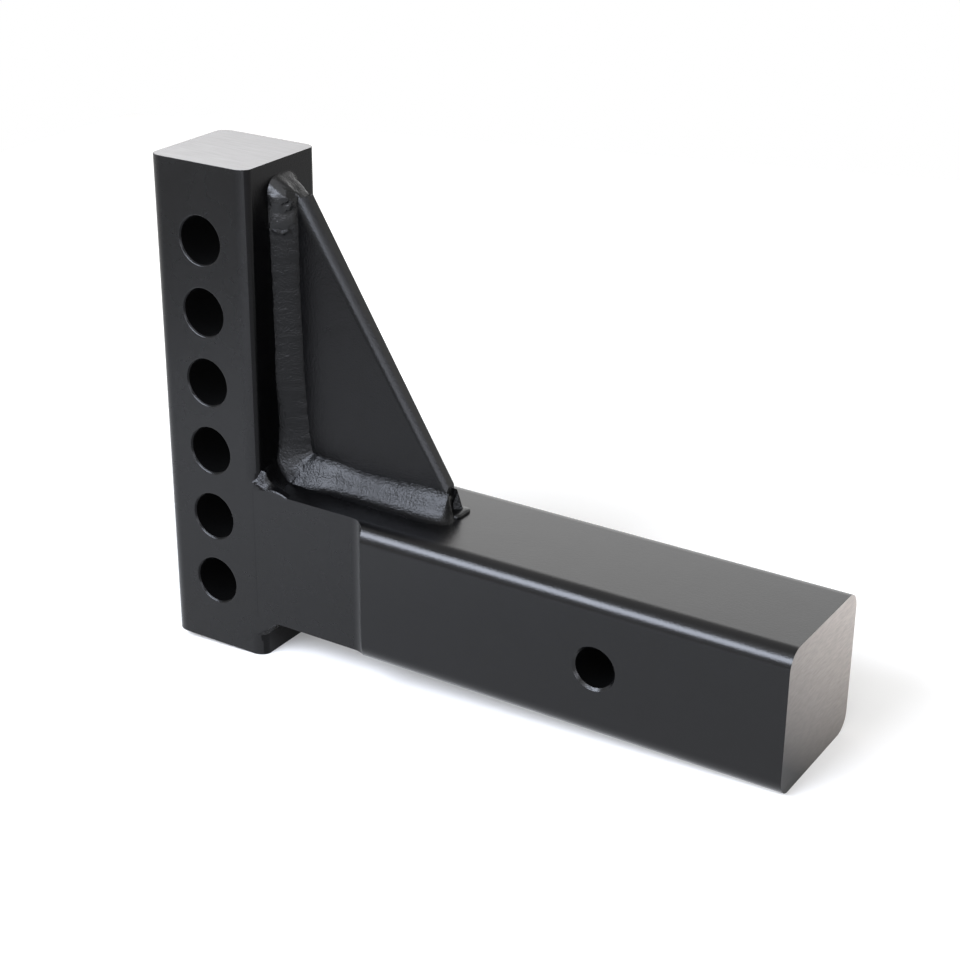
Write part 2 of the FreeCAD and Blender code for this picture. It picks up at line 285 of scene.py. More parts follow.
BLACK = (0.0008, 0.0008, 0.0009)
# A deeper black for the drilled walls: painted shade inside the holes.
HOLE_SHADE_BLACK = (0.0003, 0.0003, 0.0003)
rolled_coat = coat("rolled_coat", BLACK, gloss=0.24, peel=(0.8, 0.045), grit=(0.45, 0.022))
# A shaded copy of the rolled coat: its lower index of refraction is painted shade on the upright's rolled
# faces.
shaded_coat = coat("shaded_coat", BLACK, gloss=0.24, peel=(0.8, 0.045), grit=(0.45, 0.022), shine=1.22)
milled_coat = coat("milled_coat", BLACK, gloss=0.27, peel=(2.0, 0.010), grit=(0.6, 0.004))
weld_coat = coat("weld_coat", BLACK, gloss=0.27, peel=(0.9, 0.20), grit=(0.5, 0.07), shine=1.26)
puddle_coat = coat("puddle_coat", BLACK, gloss=0.24, peel=(1.0, 0.12), grit=(0.5, 0.05))
plate_coat = coat("plate_coat", BLACK, gloss=0.25, peel=(0.9, 0.090), grit=(0.5, 0.045), shine=1.28)
hole_coat = coat("hole_coat", HOLE_SHADE_BLACK, gloss=0.75, peel=(1.5, 0.02), grit=(0.5, 0.01), shine=1.12)
print("coats:", [paint.name for paint in bpy.data.materials if paint.name.endswith("_coat")])

# %% [markdown]
# The bar ends are sawn. A saw leaves fine parallel furrows, which scatter the light of the room over the
# face, so that the same coat looks far lighter there. The furrows are noise drawn out along the cut, which
# runs straight over the upright's end and at a slant over the receiver bar's.
# The free end's colour is also painted darker towards its lower near corner: a painted shade, made by a slope
# over the face.

# %% Mix the sawn finishes
SAWN_GLOSS = 0.5
FURROW_DETAIL = 4.0
FURROW_DEPTH = 0.03 * MM
# Painted shade on the free end: a colour scale and its slope over the face, in metres.
END_SHADE = (0.50, (0, 9.5, 12.2))


def add_slope(tree, spot, middle, slope):
    along = tree.nodes.new("ShaderNodeVectorMath")
    along.operation = "DOT_PRODUCT"
    along.inputs[1].default_value = slope
    tree.links.new(spot, along.inputs[0])
    total = tree.nodes.new("ShaderNodeMath")
    total.operation = "ADD"
    total.inputs[1].default_value = middle
    tree.links.new(along.outputs["Value"], total.inputs[0])
    return total.outputs[0]


def sawn(name, dull, bright, furrow, stretch, turn, shade=None):
    paint, tree, shader, spot = start_paint(name)
    lines = add_noise(tree, spot, furrow, FURROW_DETAIL, stretch, turn)
    colour = add_ramp(tree, lines, ((VALLEY, dull), (PEAK, bright)))
    # A given slope scales the colour, as painted shade.
    if shade is not None:
        shaded = tree.nodes.new("ShaderNodeVectorMath")
        shaded.operation = "SCALE"
        tree.links.new(colour, shaded.inputs[0])
        tree.links.new(add_slope(tree, spot, *shade), shaded.inputs["Scale"])
        colour = shaded.outputs[0]
    tree.links.new(colour, shader.inputs["Base Color"])
    shader.inputs["Roughness"].default_value = SAWN_GLOSS
    tree.links.new(add_bump(tree, lines, FURROW_DEPTH), shader.inputs["Normal"])
    print("mixed", name)
    return paint


sawn_top = sawn("sawn_top", dull=(0.2, 0.188, 0.172), bright=(0.25, 0.236, 0.218), furrow=0.5 * MM,
                stretch=(0.05, 1, 1), turn=(0, 0, 0))
sawn_end = sawn("sawn_end", dull=(0.43, 0.385, 0.342), bright=(0.58, 0.515, 0.46), furrow=0.6 * MM,
                stretch=(1, 0.15, 1), turn=(math.radians(45), 0, 0), shade=END_SHADE)

# %% [markdown]
# The upright is two-inch square bar, milled to its finished width on both sides. Its long edges are rounded
# before the flats are cut, as on the real bar, so that each flat takes its share of the corners away.

# %% Roll and mill the upright
UPRIGHT_CORNER = 5.3 * MM
UPRIGHT_CORNER_STEPS = 12
upright_depth = upright_high.x - upright_low.x
rolled_half = upright_depth / 2

upright = stock(Vector((upright_low.x, -rolled_half, upright_low.z)),
                Vector((upright_high.x, rolled_half, upright_high.z)))
round_edges(upright, edges_along(upright, 2), UPRIGHT_CORNER, UPRIGHT_CORNER_STEPS)
slice_off(upright, (0, mill_half, 0), (0, 1, 0))
slice_off(upright, (0, -mill_half, 0), (0, -1, 0))
print("upright", round(upright_depth / MM, 2), "mm deep, milled to", round(2 * mill_half / MM, 2), "mm")

# %% [markdown]
# Where a flat cuts a rolled corner, a plain model keeps a hard line. On the shank the flat goes over into the
# corner softly, except beside the joint, where weld metal fills the corner up to the flat. So the bar is cut
# across at four levels and along a few lines by its corners, and the points there move in to an ellipse,
# fully so away from the joint and not at all beside it.

# %% Soften its corners
SOFT_WIDTH = 6.3 * MM
SOFT_CUTS = 8
SOFT_REACH = SOFT_WIDTH - UPRIGHT_CORNER / 2
FADE_LEVELS = (bar_low.z - 12 * MM, bar_low.z - 6 * MM, bar_top + 2 * MM, bar_top + 7 * MM)
upright_middle = (upright_low.x + upright_high.x) / 2


def cut_across(body, point, facing):
    everything = body.verts[:] + body.edges[:] + body.faces[:]
    bmesh.ops.bisect_plane(body, geom=everything, dist=HAIR, plane_co=point, plane_no=facing)


def softness(spot):
    """How far the soft corner is blended in at a place: 0 beside the joint, 1 away from it."""
    if spot.x < upright_middle:
        return 1.0
    foot, low, high, head = FADE_LEVELS
    below = (low - spot.z) / (low - foot)
    above = (spot.z - high) / (head - high)
    return min(max(below, above, 0), 1)


for level in FADE_LEVELS:
    cut_across(upright, (0, 0, level), (0, 0, 1))
for cut in range(SOFT_CUTS):
    reach = rolled_half - SOFT_WIDTH + cut * SOFT_REACH / SOFT_CUTS
    for side in (-1, 1):
        cut_across(upright, (upright_middle + side * reach, 0, 0), (1, 0, 0))
straight = rolled_half - UPRIGHT_CORNER
moved = 0
for vert in upright.verts:
    part = (abs(vert.co.x - upright_middle) - rolled_half + SOFT_WIDTH) / SOFT_WIDTH
    if part > 0 and abs(vert.co.y) > straight:
        soft = straight + (mill_half - straight) * math.sqrt(max(1 - part * part, 0))
        share = softness(vert.co)
        width = abs(vert.co.y) * (1 - share) + min(soft, abs(vert.co.y)) * share
        vert.co.y = math.copysign(width, vert.co.y)
        moved += 1
print("corner points:", moved)

# %% [markdown]
# Six bolt holes go through the upright, with a small chamfer at each mouth. One cutter with all six bits is
# taken out at once, and then the sharp edges of the bar and of the mouths are broken together.

# %% Drill the upright
HOLE_CHAMFER = 0.8 * MM
bits = bmesh.new()
for name, hole in holes.items():
    if name.startswith("bolt"):
        drill_tool(bits, Vector(hole["pos_m"]), hole["dims"]["r_mm"] * MM, HOLE_CHAMFER, mill_half)
upright = carve(upright, bits)


def never(edge):
    return False


break_edges(upright, never)

# %% [markdown]
# The coat looks different over every kind of steel, so the bar's faces take a finish by the way they look and
# by where they lie: a flat looks along Y, a sawn end along Z, and a hole's wall lies close to its axis.

# %% Paint the upright
HOLE_SLACK = 0.02 * MM
WALL_FACING = 0.2


def paint_faces(body, slot, test):
    for face in body.faces:
        if test(face):
            face.material_index = slot


def in_hole(face):
    spot = face.calc_center_median()
    for hole in holes.values():
        centre = Vector(hole["pos_m"])
        reach = math.hypot(spot.x - centre.x, spot.z - centre.z)
        if reach < hole["dims"]["r_mm"] * MM + HOLE_SLACK and abs(face.normal.y) < WALL_FACING:
            return True
    return False


FLAT_FACING = 0.99
SOFT_FACING = 0.8
MILLED, SAWN, DRILLED = 1, 2, 3
upright.normal_update()
paint_faces(upright, MILLED, lambda face: abs(face.normal.y) > SOFT_FACING)
paint_faces(upright, SAWN, lambda face: abs(face.normal.z) > FLAT_FACING)
paint_faces(upright, DRILLED, in_hole)
# The upright's rolled faces keep the shaded copy of the rolled coat, as painted shade.
finish_piece(upright, "upright", (shaded_coat, milled_coat, sawn_top, hole_coat), ("upright_bar",))

# %% [markdown]
# The receiver bar is two and a half inches square. Its sides are milled near the joint, where the round
# cutter leaves a hollow step, and one cross hole takes the hitch pin.

# %% Make the receiver bar
BAR_CORNER = 8 * MM
PIN_CHAMFER = 1.1 * MM
CUTTER = 9.525 * MM
ROUND_STEPS = 16
FLAT_LENGTH = 49.8 * MM
FLAT_SLACK = 0.1 * MM
bar_half = bar_high.y

receiver = stock(bar_low, bar_high)
round_edges(receiver, edges_along(receiver, 0), BAR_CORNER, ROUND_STEPS)

bits = bmesh.new()
pin_hole = holes["pin_hole"]
drill_tool(bits, Vector(pin_hole["pos_m"]), pin_hole["dims"]["r_mm"] * MM, PIN_CHAMFER, bar_half)
receiver = carve(receiver, bits)
for side in (-1, 1):
    past = side * (bar_half + CUTTER)
    ends = sorted((side * mill_half, past))
    mill = stock(Vector((face_x - CUTTER, ends[0], -2 * bar_half)),
                 Vector((face_x + FLAT_LENGTH + CUTTER, ends[1], 2 * bar_half)))
    corner = [edge for edge in edges_along(mill, 2)
              if edge.verts[0].co.x > face_x and abs(edge.verts[0].co.y - side * mill_half) < MICRON]
    round_edges(mill, corner, CUTTER, ROUND_STEPS)
    receiver = carve(receiver, mill)


def at_joint(edge):
    return all(abs(vert.co.x - face_x) < MICRON for vert in edge.verts)


break_edges(receiver, at_joint)
receiver.normal_update()
paint_faces(receiver, MILLED, lambda face: abs(face.calc_center_median().y) < mill_half + FLAT_SLACK
            and abs(face.normal.y) > FLAT_FACING and face.calc_center_median().x < face_x + FLAT_LENGTH)
paint_faces(receiver, SAWN, lambda face: face.normal.x > FLAT_FACING and face.calc_center_median().x > 0)
paint_faces(receiver, DRILLED, in_hole)
finish_piece(receiver, "receiver", (rolled_coat, milled_coat, sawn_end, hole_coat), ("receiver_bar",))

# %% [markdown]
# The gusset is sheared from quarter-inch plate. The blade drags the near edge of the slope over in a soft
# roll and leaves the far edge sharp. A bevel makes the roll, and its points are then spread over the plate's
# side on a flatter curve, because the roll is three times as wide at the top of the slope as at its foot.

# %% Make the gusset
PLATE_TIP = 12.7 * MM
PLATE_CLIP = 17.5 * MM
PLATE_ROLL = 2.3 * MM
ROLL_STEPS = 8
ROLL_AT_TOP = 6.2 * MM
ROLL_AT_END = 2.4 * MM
PLATE_SPAN = plate_high - plate_low
gusset = bmesh.new()
outline = ((plate_low.x + PLATE_CLIP, plate_low.z), (plate_high.x, plate_low.z),
           (plate_high.x, plate_low.z + PLATE_TIP), (plate_low.x + PLATE_TIP, plate_high.z),
           (plate_low.x, plate_high.z), (plate_low.x, plate_low.z + PLATE_CLIP))
rim = [gusset.verts.new((x, plate_low.y, z)) for x, z in outline]
sheet = gusset.faces.new(rim)
grown = bmesh.ops.extrude_face_region(gusset, geom=[sheet])
far_side = [part for part in grown["geom"] if isinstance(part, bmesh.types.BMVert)]
bmesh.ops.translate(gusset, verts=far_side, vec=(0, plate_high.y - plate_low.y, 0))
bmesh.ops.recalc_face_normals(gusset, faces=gusset.faces)
slope_edge = [edge for edge in gusset.edges if set(edge.verts) == {rim[2], rim[3]}]
round_edges(gusset, slope_edge, PLATE_ROLL, ROLL_STEPS)
slope_out = Vector((PLATE_SPAN.z - PLATE_TIP, 0, PLATE_SPAN.x - PLATE_TIP)).normalized()
tip = Vector((plate_low.x + PLATE_TIP, 0, plate_high.z))
for vert in gusset.verts:
    depth = (tip - vert.co).dot(slope_out)
    if depth > PLATE_ROLL + MICRON or vert.co.y > plate_low.y + PLATE_ROLL + MICRON:
        continue
    part = math.asin(min(1 - depth / PLATE_ROLL, 1)) / (math.pi / 2)
    vert.co.y = plate_low.y + PLATE_ROLL * part ** 2
    if abs(vert.co.z - plate_high.z) < MICRON:
        vert.co.x = tip.x - ROLL_AT_TOP * (1 - part) / slope_out.x
    else:
        vert.co.z = plate_low.z + PLATE_TIP - ROLL_AT_END * (1 - part) / slope_out.z
break_edges(gusset, never)
finish_piece(gusset, "gusset", (plate_coat,), ("gusset_plate",))

# %% [markdown]
# Weld metal runs, sags and freezes, so no weld on the shank is a plain wedge. Each run is laid as a fine
# grid over the surface that shows, and the grid's rim is then drawn in to the root line inside the steel,
# which closes it. Small helpers come first: a smooth line through a few measured stations, a place given in
# millimetres from the corner where upright, bar and gusset meet, lumps, and a crease or ridge along a line.

# %% Lay a sheet of weld
def through(*stations):
    places = [place for place, value in stations]
    values = [value for place, value in stations]
    last = len(places) - 1

    def lean(index):
        before = max(index - 1, 0)
        after = min(index + 1, last)
        return (values[after] - values[before]) / (places[after] - places[before])

    def value_at(place):
        place = min(max(place, places[0]), places[last])
        index = min(bisect.bisect_right(places, place) - 1, last - 1)
        span = places[index + 1] - places[index]
        part = (place - places[index]) / span
        fade = part * part * (3 - 2 * part)
        leave = lean(index) * span * part * (1 - part) ** 2
        arrive = lean(index + 1) * span * part * part * (1 - part)
        return values[index] * (1 - fade) + values[index + 1] * fade + leave - arrive

    return value_at


def from_corner(out, across, up):
    return Vector((face_x + out * MM, across * MM, bar_top + up * MM))


def lay_sheet(body, point_at, root_at, steps, relief):
    patch = bmesh.new()
    bmesh.ops.create_grid(patch, x_segments=steps[0], y_segments=steps[1], size=0.5)
    laid = set(patch.verts)
    bmesh.ops.extrude_edge_only(patch, edges=[edge for edge in patch.edges if edge.is_boundary])
    spots = {vert: (vert.co.x + 0.5, vert.co.y + 0.5) for vert in patch.verts}
    for vert, (along, across) in spots.items():
        vert.co = point_at(along, across) if vert in laid else root_at(along)
    bmesh.ops.remove_doubles(patch, verts=patch.verts, dist=HAIR)
    bmesh.ops.recalc_face_normals(patch, faces=patch.faces)
    patch.normal_update()
    for vert, (along, across) in spots.items():
        if vert.is_valid and vert in laid:
            vert.co += vert.normal * relief(along, across, vert.co) * MM
    mesh = bpy.data.meshes.new("patch")
    patch.to_mesh(mesh)
    patch.free()
    body.from_mesh(mesh)
    bpy.data.meshes.remove(mesh)


def eased(part):
    part = min(max(part, 0), 1)
    return part * part * (3 - 2 * part)


def lumps(spot, grain, seed):
    return noise.noise(spot / (grain * MM) + Vector((seed, 2 * seed, -seed)))


def rough(spot, layers, start=0):
    """Unevenness in millimetres. Each layer is a height, a grain in millimetres and a seed."""
    total = start
    for height, grain, seed in layers:
        total += height * lumps(spot, grain, seed)
    return total


SUNK = 0.5
RIM_HOLD = 12


def held(across):
    """1 on a sheet's face and 0 on its two long edges, which have to stay on the steel."""
    return min(1, RIM_HOLD * across * (1 - across))


def near_line(out, up, start, end, width):
    """How close a place is to a line drawn on the weld: 1 on it, falling to 0 beside it."""
    run, rise = end[0] - start[0], end[1] - start[1]
    part = ((out - start[0]) * run + (up - start[1]) * rise) / (run * run + rise * rise)
    part = min(max(part, 0), 1)
    away = math.hypot(out - start[0] - part * run, up - start[1] - part * rise)
    return math.exp(-(away / width) ** 2)


# %% [markdown]
# Along the bar the gusset's weld sagged while it was liquid: it leaves the plate at forty-five degrees,
# steepens, then runs out in a long hollow toe. That section is found by walking down it with the slopes of
# the curve, because the slopes decide what it mirrors and so can be read from the photograph.

# %% Shape the sagged section
SECTION_TURNS = through((0, 47), (0.15, 38), (0.35, 28), (0.5, 28), (0.62, 33), (0.78, 46), (0.9, 68),
                        (1, 88))
SECTION_STEPS = 60


def walk_section():
    run, drop = [0.0], [0.0]
    for step in range(SECTION_STEPS):
        turn = math.radians(SECTION_TURNS((step + 0.5) / SECTION_STEPS))
        run.append(run[-1] + math.sin(turn))
        drop.append(drop[-1] + math.cos(turn))
    return [(out / run[-1], 1 - down / drop[-1]) for out, down in zip(run, drop)]


SAGGED = walk_section()
print("points on the section:", len(SAGGED))


def sagged(part):
    place = min(max(part, 0), 1) * SECTION_STEPS
    index = min(int(place), SECTION_STEPS - 1)
    blend = place - index
    first, second = SAGGED[index], SAGGED[index + 1]
    return (first[0] * (1 - blend) + second[0] * blend, first[1] * (1 - blend) + second[1] * blend)


# %% [markdown]
# One run goes down the upright beside the gusset, turns in the corner, and goes out along the bar. It is
# one sheet, held by two lines: the outer toe on the upright, then on the bar, and the inner toe on the
# plate. Its stations are millimetres walked from the run's top. On the upright its face is nearly flat with
# a light swell. At the plate's end the toe swings round to meet the run of the far side, which is the same
# run mirrored, with lumps of its own and a narrower end.

# %% Lay the gusset runs
RUN_TOP = 122.0
CORNER = 106.0
TURN_FROM = 193.1
TURN_LENGTH = 10.0
RUN_LENGTH = TURN_FROM + TURN_LENGTH
PLATE_END = (plate_high.x - face_x) / MM
PIVOT = PLATE_END + 1.6
plate_near = plate_low.y / MM
plate_far = plate_high.y / MM
toe_out = through((0, 0), (CORNER, 0), (111, -0.3), (113, 0.4), (116, 3.0), (120, 6.4), (124, 11.5),
                  (128, 18), (132, 22.7), (TURN_FROM, PIVOT))
toe_leg = through((0, 7.8), (5, 7.6), (18, 7.3), (31, 7.0), (50, 6.8), (62, 6.8), (73, 7.1), (85, 6.4),
                  (97, 5.9), (CORNER, 6.9), (111, 8.3), (116, 8.9), (120, 9.1), (126, 9.4), (136, 10.2),
                  (149, 10.8), (169, 11.6), (184, 11.6), (TURN_FROM, 10.2))
turn_reach = through((0, 10.2), (0.1, 9.5), (0.21, 8.8), (0.32, 8.0), (0.43, 7.2), (0.54, 6.2), (0.7, 5.0),
                     (1, 3.8))
toe_up = through((0, RUN_TOP), (100, 22), (CORNER, 15.4), (111, 10.0), (113, 8.0), (116, 4.4),
                 (120, -0.4), (122, -0.12), (RUN_LENGTH, -0.12))
inner_out = through((0, 9.3), (5, 9.3), (18, 9.4), (35, 9.3), (53, 9.7), (73, 10.2), (81, 10.7),
                    (97, 11.7), (CORNER, 12.7), (113, 13.4), (120, 14.2), (124, 16.2), (130, 21.2),
                    (135, 26), (TURN_FROM, PIVOT))
inner_up = through((0, RUN_TOP), (100, 22), (CORNER, 16.4), (111, 13.7), (116, 12.8), (122, 12.5),
                   (129, 12.4), (137, 11.4), (147, 10.4), (161, 10.5), (168, 10.8), (176, 11.3),
                   (184, 11.6), (TURN_FROM, 10.6), (197, 9.6), (RUN_LENGTH, 8.4))
sag_share = through((0, 0), (114, 0), (120, 0.2), (129, 0.6), (140, 1), (RUN_LENGTH, 1))
swell_size = through((0, 0.7), (90, 0.7), (CORNER, 0.6), (113, 0.4), (119, 0.5), (125, 0.8), (132, 0.6),
                     (138, 0), (RUN_LENGTH, 0))
ridge_size = through((0, 0), (102, 0), (109, 1), (119, 1), (124, 0), (RUN_LENGTH, 0))
RIDGE_FALL = Vector((0.9, -0.1, 0.7))
turned = through((0, 0), (CORNER, 0), (122, 1), (RUN_LENGTH, 1))
SWELL_UP = Vector((0.63, 0.77, 0))
SWELL_ALONG = Vector((0, 0.85, 0.52))
BURIED = 0.12
FAR_LOSS = 0.6
FAR_FROM = 176.0
FAR_FADE = 15.0
SOFTEN = 4.0
SOFT_FROM = 0.6
RIDGE_FROM = 0.95
RIDGE_SPAN = 0.05
SWELL_POWER = 0.8
WOBBLE_LENGTH = 3.6
TOE_WOBBLE = 0.3
INNER_WOBBLE = 0.25
RIPPLE = 1.9
RIPPLE_BOW = 2.4
RIPPLE_HEIGHT = 0.01
RUN_LUMPS = ((0.04, 6), (0.03, 1.5))
RUN_STEPS = (380, 30)
MIDDLE = (plate_near + plate_far) / 2
RUN_MARKS = ((-0.16, (9.0, 9.6), (11.9, 5.6), 0.5), (0.06, (8.0, 8.8), (10.9, 4.8), 0.5),
             (0.4, (1.4, 113.2), (2.8, 112.0), 0.6), (0.4, (2.8, 112.0), (4.8, 111.7), 0.6),
             (0.4, (4.8, 111.7), (6.4, 112.8), 0.6), (-0.3, (6.6, 114.4), (8.2, 111.6), 0.5),
             (0.1, (4.0, 77.9), (5.2, 78.2), 0.6), (0.1, (4.0, 56.9), (4.6, 56.7), 0.5))


def lay_run(body, side, seed):
    def place(along):
        return RUN_LENGTH * along

    def wobble(spot, size, kind):
        return size * noise.noise(Vector((spot / WOBBLE_LENGTH, seed, kind)))

    def toe_at(spot):
        toe = Vector((toe_out(spot) - BURIED, toe_leg(spot) + wobble(spot, TOE_WOBBLE, 2), toe_up(spot)))
        if spot > TURN_FROM:
            part = min((spot - TURN_FROM) / TURN_LENGTH, 1)
            toe.x = PIVOT + turn_reach(part) * math.sin(part * math.pi / 2)
            toe.y = turn_reach(part) * math.cos(part * math.pi / 2)
        if side > 0:
            toe.y *= 1 - FAR_LOSS * eased((spot - FAR_FROM) / FAR_FADE)
        return toe

    def point_at(along, across):
        spot = place(along)
        soft = (toe_at(spot - SOFTEN) + 2 * toe_at(spot) + toe_at(spot + SOFTEN)) / 4
        lower = soft.lerp(toe_at(spot), eased((across - SOFT_FROM) / (1 - SOFT_FROM)))
        upper = Vector((inner_out(spot), -BURIED, inner_up(spot) + wobble(spot, INNER_WOBBLE, 7)))
        if spot < CORNER:
            upper.x += wobble(spot, INNER_WOBBLE, 4)
        reach, rise = sagged(across)
        share = sag_share(spot)
        reach = reach * share + across * (1 - share)
        rise = rise * share + (1 - across) * (1 - share)
        point = Vector((upper.x + (lower.x - upper.x) * reach, upper.y + (lower.y - upper.y) * reach,
                        lower.z + (upper.z - lower.z) * rise))
        swell = swell_size(spot) * (4 * across * (1 - across)) ** SWELL_POWER
        point += SWELL_UP.lerp(SWELL_ALONG, turned(spot)) * swell
        point -= RIDGE_FALL * ridge_size(spot) * eased((across - RIDGE_FROM) / RIDGE_SPAN)
        return from_corner(point.x, MIDDLE + side * (MIDDLE - plate_near + point.y), point.z)

    def root_at(along):
        spot = place(along)
        out = min(max(toe_out(spot), 0), PLATE_END) - SUNK
        return from_corner(out, MIDDLE, min(toe_up(spot), inner_up(spot)) - SUNK)

    def relief(along, across, spot):
        bow = RIPPLE_BOW * (2 * across - 1) ** 2
        ripple = math.sin(math.tau * (place(along) - bow) / RIPPLE)
        out, up = (spot.x - face_x) / MM, (spot.z - bar_top) / MM
        marks = sum(height * near_line(out, up, *line) for height, *line in RUN_MARKS)
        layers = [(height, grain, seed) for height, grain in RUN_LUMPS]
        return held(across) * (rough(spot, layers, RIPPLE_HEIGHT * ripple) + marks)

    lay_sheet(body, point_at, root_at, RUN_STEPS, relief)


for side, name, seed in ((-1, "near", 3.0), (1, "far", 11.0)):
    run = bmesh.new()
    lay_run(run, side, seed)
    finish_piece(run, "gusset_bead_" + name, (weld_coat,), ("gusset_weld_" + name,))

# %% [markdown]
# Over the plate's upper tip the two runs meet in a wrap: a broad sheet of weld that climbs the near side,
# turns over the tip and comes down on the far side, like a horseshoe hung on the plate. So it is one more
# sheet, laid along that walk, with a face that swells and a few pressed and raised marks on it.

# %% Lay the crown
CROWN_LEG = 14.2
CROWN_TURN = 12.0
PLATE_WIDTH = plate_far - plate_near
CROWN_LENGTH = 2 * (CROWN_LEG + CROWN_TURN) + PLATE_WIDTH
PLATE_TOP = (plate_high.z - bar_top) / MM
CROWN_FULLNESS = 0.9
SWELL_OUT = 0.63
SWELL_AWAY = 0.77
CROWN_LUMPS = ((0.25, 5, 2), (0.12, 2, 5))
CROWN_STEPS = (150, 26)
crown_reach = through((0, 7.7), (3, 8.1), (CROWN_LEG, 8.1), (19, 8.6), (23, 8.9), (26, 8.6), (32, 8.4),
                      (38, 7.6), (44, 7.0), (CROWN_LENGTH, 6.8))
crown_inner = through((0, 9.2), (CROWN_LEG, 9.5), (26, 11.0), (32, 10.8), (38, 9.6), (44, 9.0),
                      (CROWN_LENGTH, 9.0))
crown_swell = through((0, 0.35), (1.2, 0.9), (3, 1.3), (6, 1.3), (8, 1.2), (10, 1.6), (12, 2.1), (14, 1.9),
                      (16, 1.3), (19, 1.1), (22, 0.7), (26, 0.3), (32, 0.1), (35, -0.5), (39, -1.8),
                      (44, -2.0), (50, -0.8), (CROWN_LENGTH, 0))
CROWN_MARKS = ((0.9, (-6.7, 127.9), (-6.4, 127.8), 1.6), (-0.5, (-7.0, 124.2), (-5.6, 124.8), 0.8),
               (0.3, (-5.0, 124.6), (-4.6, 125.6), 0.5),
               (0.25, (-6.6, 121.0), (-6.2, 122.0), 0.5), (0.25, (-5.0, 121.8), (-5.4, 122.8), 0.4),
               (-0.4, (-4.6, 129.0), (-3.0, 128.2), 0.7), (0.3, (-5.4, 130.0), (-4.8, 129.8), 0.6))


def crown_walk(along):
    """Side of the plate, and how far up, round and over its top a place on the crown lies."""
    walk = CROWN_LENGTH * along
    side = -1 if along < 0.5 else 1
    nearer = min(walk, CROWN_LENGTH - walk)
    turn = min(max((nearer - CROWN_LEG) / CROWN_TURN, 0), 1) * math.pi / 2
    return side, walk, turn, min(nearer - CROWN_LEG, 0), max(nearer - CROWN_LEG - CROWN_TURN, 0)


def crown_at(along, across):
    side, walk, turn, climb, slide = crown_walk(along)
    middle = 4 * across * (1 - across)
    swell = crown_swell(walk) * middle ** CROWN_FULLNESS
    out = crown_inner(walk) * (1 - across) - BURIED * across + SWELL_OUT * swell
    away = crown_reach(walk) * across - BURIED * (1 - across) + SWELL_AWAY * swell
    beside = PLATE_WIDTH / 2 - slide + away * math.cos(turn)
    return from_corner(out, MIDDLE + side * beside, PLATE_TOP + climb + away * math.sin(turn))


def crown_root(along):
    side, walk, turn, climb, slide = crown_walk(along)
    return from_corner(-SUNK, MIDDLE, PLATE_TOP + climb - 2 * SUNK)


def crown_relief(along, across, spot):
    across_plate, up = spot.y / MM, (spot.z - bar_top) / MM
    marks = sum(height * near_line(across_plate, up, *line) for height, *line in CROWN_MARKS)
    return held(across) * (rough(spot, CROWN_LUMPS) + marks)


crown = bmesh.new()
lay_sheet(crown, crown_at, crown_root, CROWN_STEPS, crown_relief)
finish_piece(crown, "crown_weld", (puddle_coat,), ("gusset_weld_top",))

# %% [markdown]
# Round the plate's lower end the metal puddled flat on the bar. Such a puddle is a few soft lobes that melt
# into each other: a fine ball is made, and each of its points is moved out along its own ray until the
# lobes together thin out to nothing.

# %% Melt the toe puddle
LOBE_POWER = 4.0
LOBE_STIFFNESS = 2.5
BALL_FINENESS = 6
WELL_OUTSIDE = 40.0
HALVINGS = 22
TOE_LUMPS = ((0.1, 4, 2), (0.03, 2, 5))


def melt(body, centre, lobes, relief):
    ball = bmesh.new()
    bmesh.ops.create_icosphere(ball, subdivisions=BALL_FINENESS, radius=1.0)
    middle = Vector(centre)
    melted = [(Vector(spot) - middle, Vector(reach)) for spot, reach in lobes]

    def density(place):
        total = 0.0
        for spot, reach in melted:
            away = place - spot
            ratio = sum(abs(gone / size) ** LOBE_POWER for gone, size in zip(away, reach))
            total += math.exp(LOBE_STIFFNESS * (1 - ratio))
        return total

    for vert in ball.verts:
        ray = vert.co.normalized()
        inside, outside = 0.0, WELL_OUTSIDE
        for halving in range(HALVINGS):
            trial = (inside + outside) / 2
            if density(ray * trial) > 1:
                inside = trial
            else:
                outside = trial
        spot = middle + ray * inside
        vert.co = from_corner(*spot)
    ball.normal_update()
    for vert in ball.verts:
        vert.co += vert.normal * relief(vert.co) * MM
    mesh = bpy.data.meshes.new("ball")
    ball.to_mesh(mesh)
    ball.free()
    body.from_mesh(mesh)
    bpy.data.meshes.remove(mesh)


def toe_relief(spot):
    return rough(spot, TOE_LUMPS)


toe = bmesh.new()
TOE_LOBES = (((81.4, 1.4, 0), (1.8, 5.0, 8.6)), ((84.6, 3.2, 0), (4.4, 5.8, 1.8)))
melt(toe, (82.0, 1.8, 0.2), TOE_LOBES, toe_relief)
finish_piece(toe, "toe_weld", (puddle_coat,), ("gusset_weld_toe",))

# %% [markdown]
# The root weld joins the bar to the upright. It was laid before the sides were milled, so the cutter went
# through it too, and its two ends are flush with the flats and show its section with one bright edge. Four
# sections are measured from the photograph and blended on the way in from a flat: the cut itself, a steep
# foot just behind it, a shoulder whose facet catches the light, and the plain fillet that the middle has.

